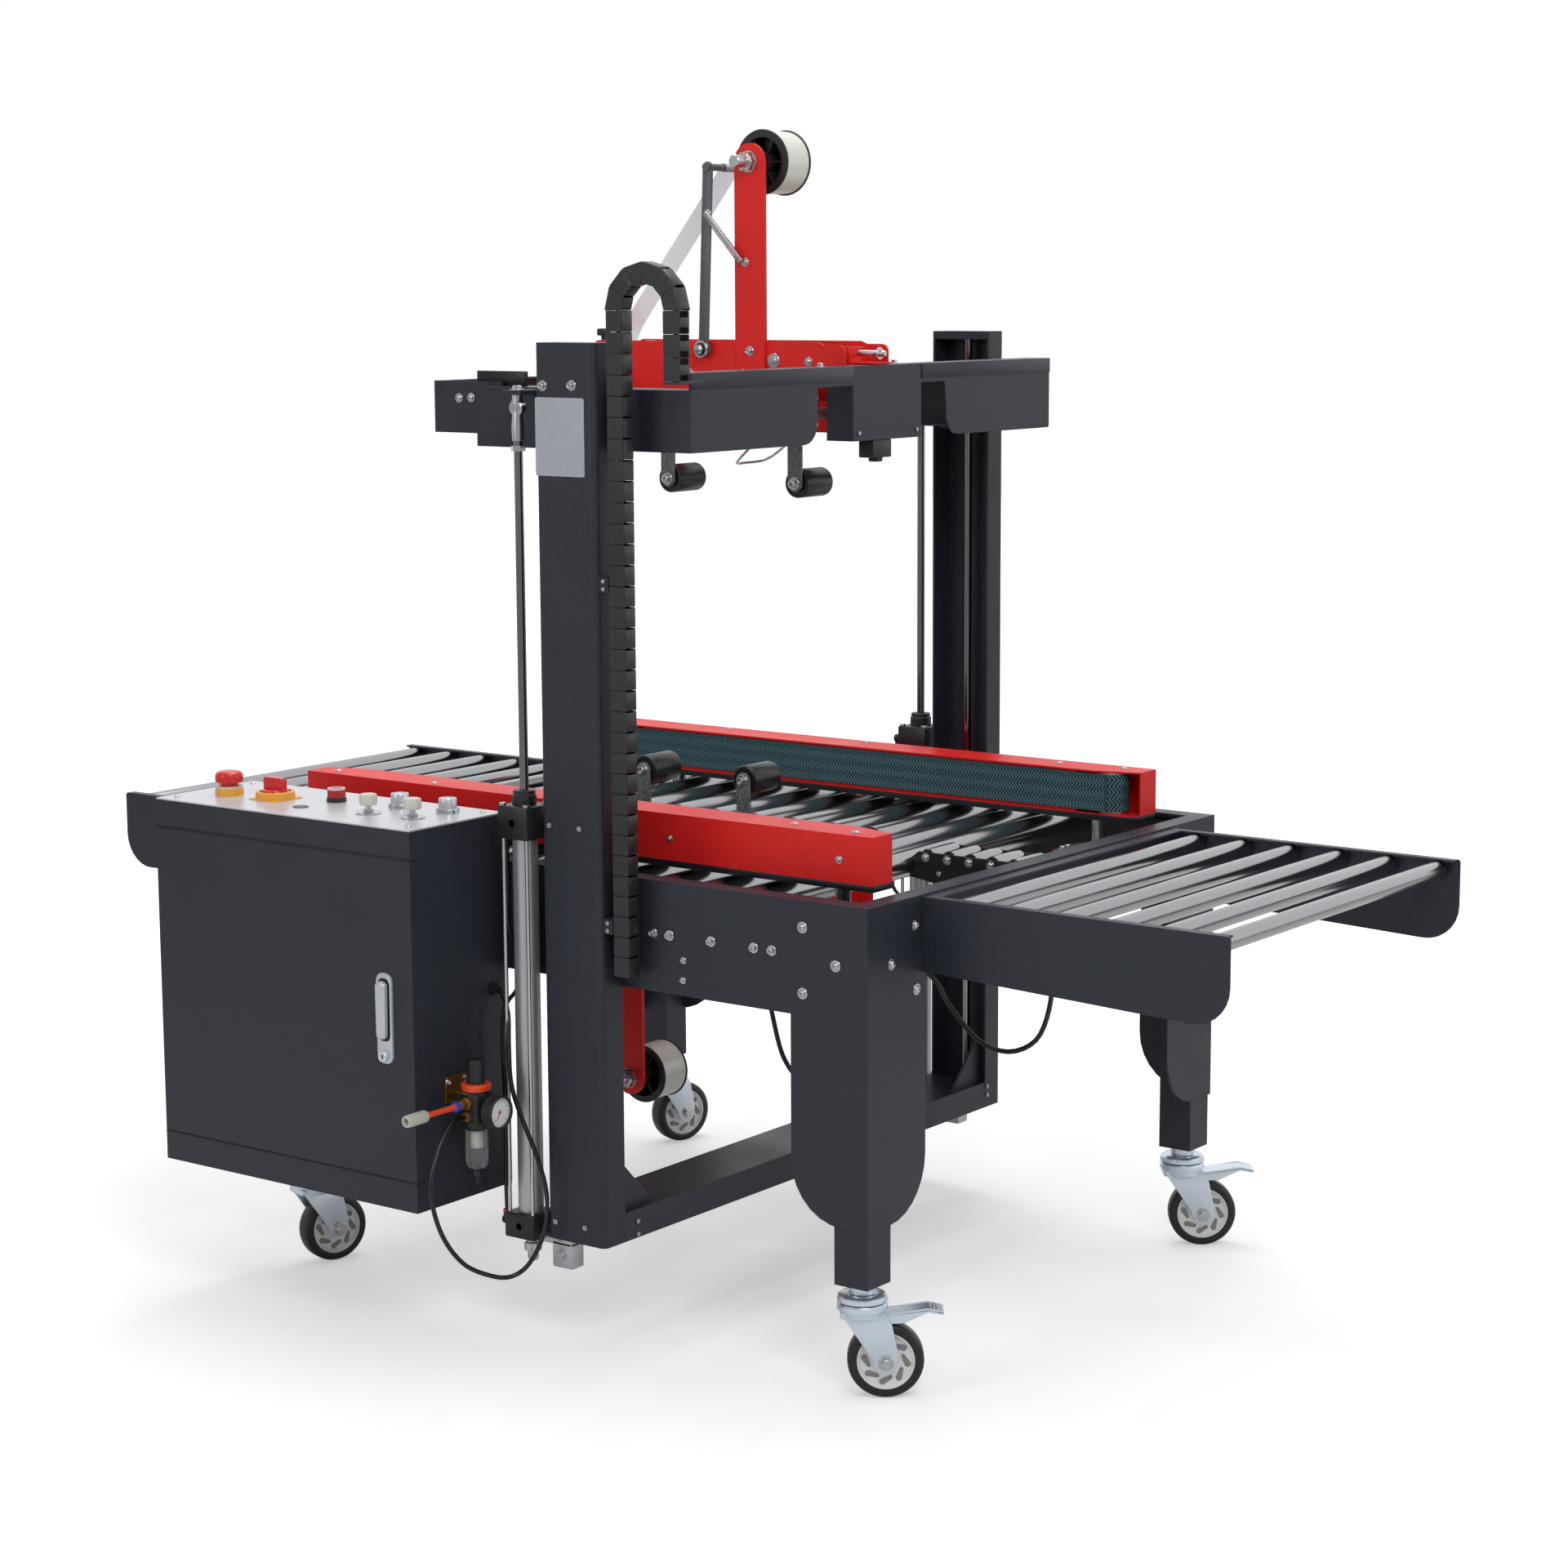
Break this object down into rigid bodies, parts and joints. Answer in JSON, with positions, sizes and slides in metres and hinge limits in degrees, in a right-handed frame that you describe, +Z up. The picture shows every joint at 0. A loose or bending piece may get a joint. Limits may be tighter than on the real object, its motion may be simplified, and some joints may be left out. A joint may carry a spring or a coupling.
{
  "type": "carton sealing machine",
  "caption": "Carton sealer on casters: roller bed, twin side belts, lifting tape head between two columns, lower tape head, infeed and outfeed tables, control cabinet.",
  "frame": {"origin": "on the floor under the middle of the machine's footprint", "axes": "+X the way cartons travel, from the infeed table to the outfeed table; +Y away from the control cabinet; +Z up"},
  "size_m": [1.945, 1.189, 1.6385],
  "materials": {
    "charcoal": "blue-black textured powder coat",
    "red": "bright red textured powder coat",
    "chrome": "polished",
    "silver": "brushed",
    "zinc": "bright zinc",
    "cast": "cast, dark",
    "rubber": "smooth black",
    "black": "moulded black",
    "belt": "woven-pattern teal",
    "wheel": "warm grey rim, black tread",
    "panel": "satin plate",
    "tape": "wound film",
    "knob_cream": "moulded cream",
    "control_red": "moulded red",
    "button_metal": "polished"
  },
  "bodies": {
    "frame": {"bed_frame": "charcoal", "roller_deck": "chrome", "outfeed_table": "charcoal", "infeed_table": "charcoal", "column_near": "charcoal", "column_far": "charcoal", "base_channel": "charcoal", "lift_cylinder_near": "silver", "lift_cylinder_far": "silver", "cartridge_lower": "red", "cabinet_shell": "charcoal", "control_panel": "panel", "regulator_body": "black", "air_hose": "rubber", "chain_fixed_run": "black"},
    "head": {"head_frame": "charcoal", "lift_rod_near": "chrome", "lift_rod_far": "chrome", "cartridge_upper": "red", "chain_hanging_run": "black"},
    "chain_arch": {"chain_arch": "black"},
    "tape_roll_upper": {"tape_roll_upper": "tape"},
    "tape_roll_lower": {"tape_roll_lower": "tape"},
    "tension_lever": {"tension_lever": "cast"},
    "press_arm_upper_rear": {"press_arm_upper_rear": "cast"},
    "press_arm_upper_front": {"press_arm_upper_front": "cast"},
    "press_roller_upper_rear": {"press_roller_upper_rear": "rubber"},
    "press_roller_upper_front": {"press_roller_upper_front": "rubber"},
    "press_arm_lower_rear": {"press_arm_lower_rear": "cast"},
    "press_arm_lower_front": {"press_arm_lower_front": "cast"},
    "belt_near": {"belt_housing_near": "red", "side_belt_near": "belt"},
    "belt_far": {"belt_housing_far": "red", "side_belt_far": "belt"},
    "cabinet_door": {"cabinet_door": "charcoal"},
    "door_handle": {"door_handle": "silver"},
    "emergency_stop": {"emergency_stop": "control_red"},
    "main_switch": {"main_switch": "control_red"},
    "speed_knob_a": {"speed_knob_a": "knob_cream"},
    "speed_knob_b": {"speed_knob_b": "knob_cream"},
    "push_button_a": {"push_button_a": "button_metal"},
    "push_button_b": {"push_button_b": "button_metal"},
    "regulator_knob": {"regulator_knob": "black"},
    "outfeed_roller_1": {"outfeed_roller_1": "chrome"},
    "outfeed_roller_2": {"outfeed_roller_2": "chrome"},
    "outfeed_roller_3": {"outfeed_roller_3": "chrome"},
    "outfeed_roller_4": {"outfeed_roller_4": "chrome"},
    "outfeed_roller_5": {"outfeed_roller_5": "chrome"},
    "outfeed_roller_6": {"outfeed_roller_6": "chrome"},
    "caster_outfeed_near": {"caster_fork_outfeed_near": "zinc"},
    "caster_wheel_outfeed_near": {"caster_wheel_outfeed_near": "wheel"},
    "brake_outfeed_near": {"brake_pedal_outfeed_near": "zinc"},
    "caster_outfeed_far": {"caster_fork_outfeed_far": "zinc"},
    "caster_wheel_outfeed_far": {"caster_wheel_outfeed_far": "wheel"},
    "brake_outfeed_far": {"brake_pedal_outfeed_far": "zinc"},
    "caster_infeed_near": {"caster_fork_infeed_near": "zinc"},
    "caster_wheel_infeed_near": {"caster_wheel_infeed_near": "wheel"},
    "caster_infeed_far": {"caster_fork_infeed_far": "zinc"},
    "caster_wheel_infeed_far": {"caster_wheel_infeed_far": "wheel"}
  },
  "joints": [
    {"name": "head_lift", "type": "slide", "parent": "frame", "child": "head", "axis": [0, 0, 1], "range_m": [-0.4, 0], "deforming": ["chain_fixed_run"]},
    {"name": "chain_follow", "type": "slide", "parent": "head", "child": "chain_arch", "axis": [0, 0, 1], "range_m": [0, 0.2], "deforming": ["chain_hanging_run"]},
    {"name": "tape_roll_upper_spin", "type": "hinge", "parent": "head", "child": "tape_roll_upper", "pos_m": [0.052, 0.0955, 1.593], "axis": [0, 1, 0], "continuous": true},
    {"name": "tape_roll_lower_spin", "type": "hinge", "parent": "frame", "child": "tape_roll_lower", "pos_m": [-0.183, 0.0955, 0.252], "axis": [0, 1, 0], "continuous": true},
    {"name": "tension_lever_swing", "type": "hinge", "parent": "head", "child": "tension_lever", "pos_m": [-0.029, 0.034, 1.334], "axis": [0, -1, 0], "range_deg": [0, 12], "stiffness_Nm_per_rad": 6, "springref_deg": -11.46},
    {"name": "press_arm_upper_rear_swing", "type": "hinge", "parent": "head", "child": "press_arm_upper_rear", "pos_m": [-0.116, 0.0955, 1.243], "axis": [0, -1, 0], "range_deg": [0, 50], "stiffness_Nm_per_rad": 2.5, "springref_deg": -11.46},
    {"name": "press_arm_upper_front_swing", "type": "hinge", "parent": "head", "child": "press_arm_upper_front", "pos_m": [0.112, 0.0955, 1.243], "axis": [0, -1, 0], "range_deg": [0, 50]},
    {"name": "press_arm_lower_rear_swing", "type": "hinge", "parent": "frame", "child": "press_arm_lower_rear", "pos_m": [-0.168, 0.0955, 0.6], "axis": [0, 1, 0], "range_deg": [0, 50], "stiffness_Nm_per_rad": 5, "springref_deg": -11.46},
    {"name": "press_arm_lower_front_swing", "type": "hinge", "parent": "frame", "child": "press_arm_lower_front", "pos_m": [0.017, 0.0955, 0.6], "axis": [0, 1, 0], "range_deg": [0, 50]},
    {"name": "press_roller_upper_rear_spin", "type": "hinge", "parent": "press_arm_upper_rear", "child": "press_roller_upper_rear", "pos_m": [-0.116, 0.0955, 1.147], "axis": [0, 1, 0], "continuous": true},
    {"name": "press_roller_upper_front_spin", "type": "hinge", "parent": "press_arm_upper_front", "child": "press_roller_upper_front", "pos_m": [0.112, 0.0955, 1.147], "axis": [0, 1, 0], "continuous": true},
    {"name": "belt_near_width", "type": "slide", "parent": "frame", "child": "belt_near", "axis": [0, 1, 0], "range_m": [0, 0.16]},
    {"name": "belt_far_width", "type": "slide", "parent": "frame", "child": "belt_far", "axis": [0, -1, 0], "range_m": [0, 0.16]},
    {"name": "outfeed_roller_1_spin", "type": "hinge", "parent": "frame", "child": "outfeed_roller_1", "pos_m": [0.5705, 0.0955, 0.6323], "axis": [0, 1, 0], "continuous": true},
    {"name": "outfeed_roller_2_spin", "type": "hinge", "parent": "frame", "child": "outfeed_roller_2", "pos_m": [0.6455, 0.0955, 0.6323], "axis": [0, 1, 0], "continuous": true},
    {"name": "outfeed_roller_3_spin", "type": "hinge", "parent": "frame", "child": "outfeed_roller_3", "pos_m": [0.7205, 0.0955, 0.6323], "axis": [0, 1, 0], "continuous": true},
    {"name": "outfeed_roller_4_spin", "type": "hinge", "parent": "frame", "child": "outfeed_roller_4", "pos_m": [0.7955, 0.0955, 0.6323], "axis": [0, 1, 0], "continuous": true},
    {"name": "outfeed_roller_5_spin", "type": "hinge", "parent": "frame", "child": "outfeed_roller_5", "pos_m": [0.8705, 0.0955, 0.6323], "axis": [0, 1, 0], "continuous": true},
    {"name": "outfeed_roller_6_spin", "type": "hinge", "parent": "frame", "child": "outfeed_roller_6", "pos_m": [0.9455, 0.0955, 0.6323], "axis": [0, 1, 0], "continuous": true},
    {"name": "cabinet_door_swing", "type": "hinge", "parent": "frame", "child": "cabinet_door", "pos_m": [-0.5623, -0.5388, 0.197], "axis": [0, 0, -1], "range_deg": [0, 110]},
    {"name": "door_handle_lift", "type": "hinge", "parent": "cabinet_door", "child": "door_handle", "pos_m": [-0.1275, -0.5481, 0.511], "axis": [-1, 0, 0], "range_deg": [0, 45], "stiffness_Nm_per_rad": 0.15, "springref_deg": -17.19},
    {"name": "emergency_stop_press", "type": "slide", "parent": "frame", "child": "emergency_stop", "axis": [0, 0, -1], "range_m": [0, 0.004], "stiffness_N_per_m": 600, "springref_m": -0.004},
    {"name": "main_switch_turn", "type": "hinge", "parent": "frame", "child": "main_switch", "pos_m": [-0.417, -0.4475, 0.7176], "axis": [0, 0, 1], "range_deg": [-90, 90]},
    {"name": "speed_knob_a_turn", "type": "hinge", "parent": "frame", "child": "speed_knob_a", "pos_m": [-0.222, -0.4645, 0.7176], "axis": [0, 0, 1], "range_deg": [-140, 140]},
    {"name": "speed_knob_b_turn", "type": "hinge", "parent": "frame", "child": "speed_knob_b", "pos_m": [-0.147, -0.4575, 0.7176], "axis": [0, 0, 1], "range_deg": [-140, 140]},
    {"name": "push_button_a_press", "type": "slide", "parent": "frame", "child": "push_button_a", "axis": [0, 0, -1], "range_m": [0, 0.003], "stiffness_N_per_m": 500, "springref_m": -0.003},
    {"name": "push_button_b_press", "type": "slide", "parent": "frame", "child": "push_button_b", "axis": [0, 0, -1], "range_m": [0, 0.003], "stiffness_N_per_m": 500, "springref_m": -0.003},
    {"name": "regulator_knob_turn", "type": "hinge", "parent": "frame", "child": "regulator_knob", "pos_m": [-0.043, -0.4565, 0.3663], "axis": [0, 0, 1], "range_deg": [-360, 360]},
    {"name": "caster_outfeed_near_swivel", "type": "hinge", "parent": "frame", "child": "caster_outfeed_near", "pos_m": [0.495, -0.318, 0.1507], "axis": [0, 0, 1], "continuous": true},
    {"name": "caster_wheel_outfeed_near_roll", "type": "hinge", "parent": "caster_outfeed_near", "child": "caster_wheel_outfeed_near", "pos_m": [0.51896, -0.29995, 0.05], "axis": [-0.6018, 0.7986, 0], "continuous": true},
    {"name": "brake_outfeed_near_press", "type": "hinge", "parent": "caster_outfeed_near", "child": "brake_outfeed_near", "pos_m": [0.5156, -0.30247, 0.11], "axis": [-0.6018, 0.7986, 0], "range_deg": [0, 12]},
    {"name": "caster_outfeed_far_swivel", "type": "hinge", "parent": "frame", "child": "caster_outfeed_far", "pos_m": [0.495, 0.509, 0.1507], "axis": [0, 0, 1], "continuous": true},
    {"name": "caster_wheel_outfeed_far_roll", "type": "hinge", "parent": "caster_outfeed_far", "child": "caster_wheel_outfeed_far", "pos_m": [0.51896, 0.52705, 0.05], "axis": [-0.6018, 0.7986, 0], "continuous": true},
    {"name": "brake_outfeed_far_press", "type": "hinge", "parent": "caster_outfeed_far", "child": "brake_outfeed_far", "pos_m": [0.5156, 0.52453, 0.11], "axis": [-0.6018, 0.7986, 0], "range_deg": [0, 12]},
    {"name": "caster_infeed_near_swivel", "type": "hinge", "parent": "frame", "child": "caster_infeed_near", "pos_m": [-0.495, -0.318, 0.1507], "axis": [0, 0, 1], "continuous": true},
    {"name": "caster_wheel_infeed_near_roll", "type": "hinge", "parent": "caster_infeed_near", "child": "caster_wheel_infeed_near", "pos_m": [-0.48573, -0.28947, 0.05], "axis": [-0.9511, 0.309, 0], "continuous": true},
    {"name": "caster_infeed_far_swivel", "type": "hinge", "parent": "frame", "child": "caster_infeed_far", "pos_m": [-0.495, 0.509, 0.1507], "axis": [0, 0, 1], "continuous": true},
    {"name": "caster_wheel_infeed_far_roll", "type": "hinge", "parent": "caster_infeed_far", "child": "caster_wheel_infeed_far", "pos_m": [-0.48573, 0.53753, 0.05], "axis": [-0.9511, 0.309, 0], "continuous": true}
  ],
  "couplings": [
    {"joint": "chain_follow", "follows": "head_lift", "ratio": -0.5},
    {"joint": "press_arm_upper_front_swing", "follows": "press_arm_upper_rear_swing", "ratio": 1},
    {"joint": "press_arm_lower_front_swing", "follows": "press_arm_lower_rear_swing", "ratio": 1},
    {"joint": "belt_far_width", "follows": "belt_near_width", "ratio": 1}
  ]
}
